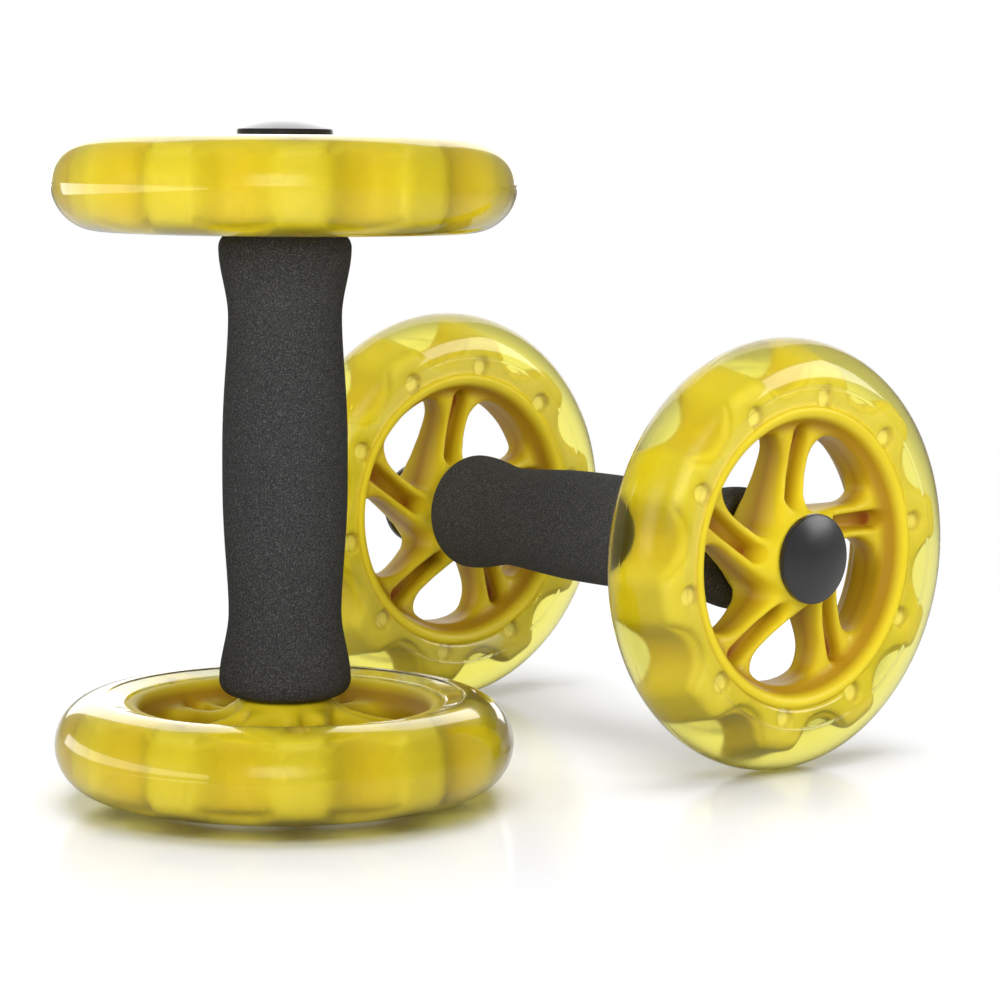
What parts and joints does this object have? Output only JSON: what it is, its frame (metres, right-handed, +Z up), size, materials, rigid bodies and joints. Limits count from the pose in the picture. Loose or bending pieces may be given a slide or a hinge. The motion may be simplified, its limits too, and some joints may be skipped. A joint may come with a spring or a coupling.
{
  "type": "ab wheel roller",
  "caption": "Hand-held ab wheel rollers, each a contoured foam grip on an axle between spoked wheels with clear cast tyres; a standing roller and a lying roller.",
  "frame": {"origin": "on the floor, at the middle of the flat pad that the standing roller stands on", "axes": "+Z up along the standing roller's axle, +Y away from the picture's viewer, +X to its right"},
  "size_m": [0.2978, 0.3129, 0.215],
  "materials": {
    "core_plastic": "glossy opaque yellow moulding",
    "clear_polyurethane": "clear lemon cast polyurethane, glossy",
    "foam": "matt black speckled foam",
    "cap_plastic": "satin black, fine mould grain",
    "plug_plastic": "matt black",
    "nylon": "natural nylon",
    "steel": "zinc plated",
    "tube_steel": "drawn tube"
  },
  "bodies": {
    "standing_handle": {"standing_axle_rod": "steel", "standing_handle_tube": "tube_steel", "standing_foam_grip": "foam", "standing_lower_axle_screw": "steel", "standing_lower_retaining_washer": "steel", "standing_lower_spacer_collar": "nylon", "standing_lower_handle_plug": "plug_plastic", "standing_upper_axle_screw": "steel", "standing_upper_retaining_washer": "steel", "standing_upper_spacer_collar": "nylon", "standing_upper_handle_plug": "plug_plastic"},
    "standing_lower_wheel": {"standing_lower_wheel_core": "core_plastic", "standing_lower_tyre": "clear_polyurethane", "standing_lower_inner_bush": "nylon", "standing_lower_outer_bush": "nylon", "standing_lower_end_cap": "cap_plastic"},
    "standing_upper_wheel": {"standing_upper_wheel_core": "core_plastic", "standing_upper_tyre": "clear_polyurethane", "standing_upper_inner_bush": "nylon", "standing_upper_outer_bush": "nylon", "standing_upper_end_cap": "cap_plastic"},
    "lying_handle": {"lying_axle_rod": "steel", "lying_handle_tube": "tube_steel", "lying_foam_grip": "foam", "lying_far_axle_screw": "steel", "lying_far_retaining_washer": "steel", "lying_far_spacer_collar": "nylon", "lying_far_handle_plug": "plug_plastic", "lying_near_axle_screw": "steel", "lying_near_retaining_washer": "steel", "lying_near_spacer_collar": "nylon", "lying_near_handle_plug": "plug_plastic"},
    "lying_far_wheel": {"lying_far_wheel_core": "core_plastic", "lying_far_tyre": "clear_polyurethane", "lying_far_inner_bush": "nylon", "lying_far_outer_bush": "nylon", "lying_far_end_cap": "cap_plastic"},
    "lying_near_wheel": {"lying_near_wheel_core": "core_plastic", "lying_near_tyre": "clear_polyurethane", "lying_near_inner_bush": "nylon", "lying_near_outer_bush": "nylon", "lying_near_end_cap": "cap_plastic"}
  },
  "joints": [
    {"name": "standing_lower_wheel_spin", "type": "hinge", "parent": "standing_handle", "child": "standing_lower_wheel", "pos_m": [0, 0, 0.0195], "axis": [0, 0, 1], "continuous": true},
    {"name": "standing_upper_wheel_spin", "type": "hinge", "parent": "standing_handle", "child": "standing_upper_wheel", "pos_m": [0, 0, 0.1955], "axis": [0, 0, 1], "continuous": true},
    {"name": "lying_far_wheel_spin", "type": "hinge", "parent": "lying_handle", "child": "lying_far_wheel", "pos_m": [0.05832, 0.19069, 0.0725], "axis": [0.6032, -0.7976, 0], "continuous": true},
    {"name": "lying_near_wheel_spin", "type": "hinge", "parent": "lying_handle", "child": "lying_near_wheel", "pos_m": [0.16448, 0.05031, 0.0725], "axis": [0.6032, -0.7976, 0], "continuous": true},
    {"name": "lying_roller_lift", "type": "slide", "parent": "standing_handle", "child": "lying_handle", "axis": [0, 0, 1], "range_m": [0, 0.25]}
  ]
}
